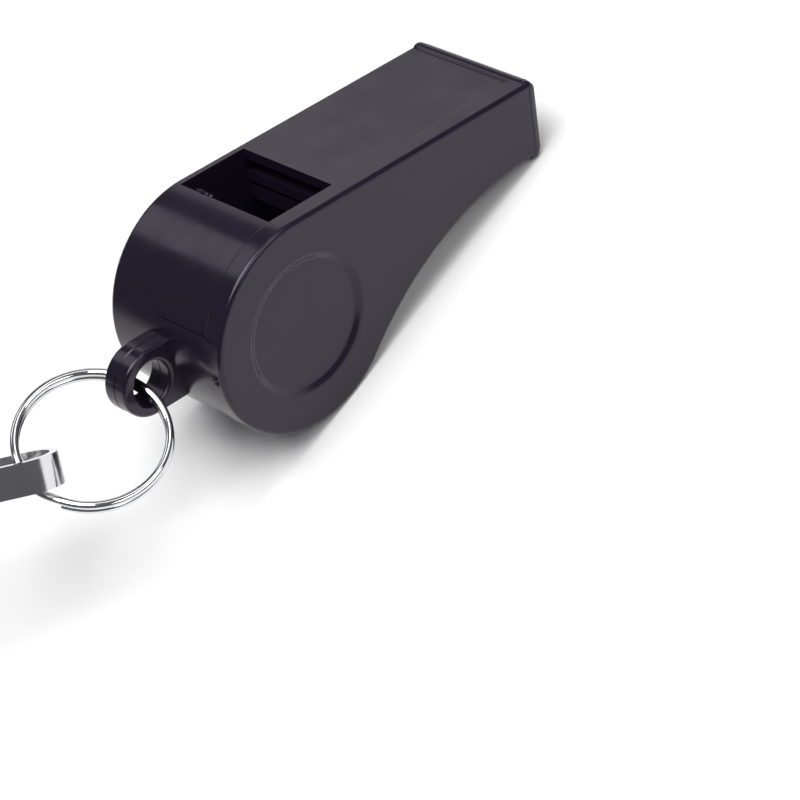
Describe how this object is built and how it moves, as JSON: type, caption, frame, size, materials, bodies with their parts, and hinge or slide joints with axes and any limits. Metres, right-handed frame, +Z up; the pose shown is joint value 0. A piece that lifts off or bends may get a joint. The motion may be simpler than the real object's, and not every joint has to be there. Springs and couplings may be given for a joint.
{
  "type": "training whistle",
  "caption": "Pea whistle with a round chamber and a flat mouthpiece, on a split ring with a sprung lanyard hook.",
  "frame": {"origin": "on the level plane that the whistle rests on, straight under the barrel's axis, halfway across the whistle", "axes": "+X towards the mouth, +Z up from the resting plane, -Y towards the side cover; the barrel's axis is parallel to Y at 12.5 mm height"},
  "size_m": [0.0953, 0.0341, 0.033],
  "materials": {
    "black_casing": "polished moulding, near black",
    "cork": "natural cork, matt",
    "chrome_wire": "bright plated",
    "chrome_strip": "bright plated",
    "steel_pin": "bright",
    "spring_steel": "bright wire"
  },
  "bodies": {
    "whistle": {"whistle_body": "black_casing", "side_cover": "black_casing"},
    "pea": {"cork_pea": "cork"},
    "ring": {"split_ring": "chrome_wire"},
    "hook": {"hook_strip": "chrome_strip", "gate_pin": "steel_pin", "gate_spring": "spring_steel"},
    "gate": {"gate_lever": "chrome_strip"},
    "swivel": {"swivel_stud": "steel_pin", "swivel_yoke": "chrome_strip"}
  },
  "joints": [
    {"name": "pea_orbit", "type": "hinge", "parent": "whistle", "child": "pea", "pos_m": [0, 0, 0.0125], "axis": [0, 1, 0], "continuous": true},
    {"name": "ring_swing", "type": "hinge", "parent": "whistle", "child": "ring", "pos_m": [-0.01583, 0.00096, 0.0169], "axis": [0.0695, -0.9098, -0.4092], "range_deg": [-90, 90]},
    {"name": "hook_swing", "type": "hinge", "parent": "ring", "child": "hook", "pos_m": [-0.03127, 0.0021, 0.02048], "axis": [-0.3677, -0.8775, -0.308], "range_deg": [-30, 45]},
    {"name": "gate_open", "type": "hinge", "parent": "hook", "child": "gate", "pos_m": [-0.04467, 0.01175, 0.02584], "axis": [0.5609, 0.3666, 0.7423], "range_deg": [-28, 0], "stiffness_Nm_per_rad": 0.004, "springref_deg": 11.46, "deforming": ["gate_spring"]},
    {"name": "swivel_spin", "type": "hinge", "parent": "hook", "child": "swivel", "pos_m": [-0.04895, 0.01681, 0.02658], "axis": [-0.7431, 0.6181, 0.2562], "continuous": true}
  ]
}
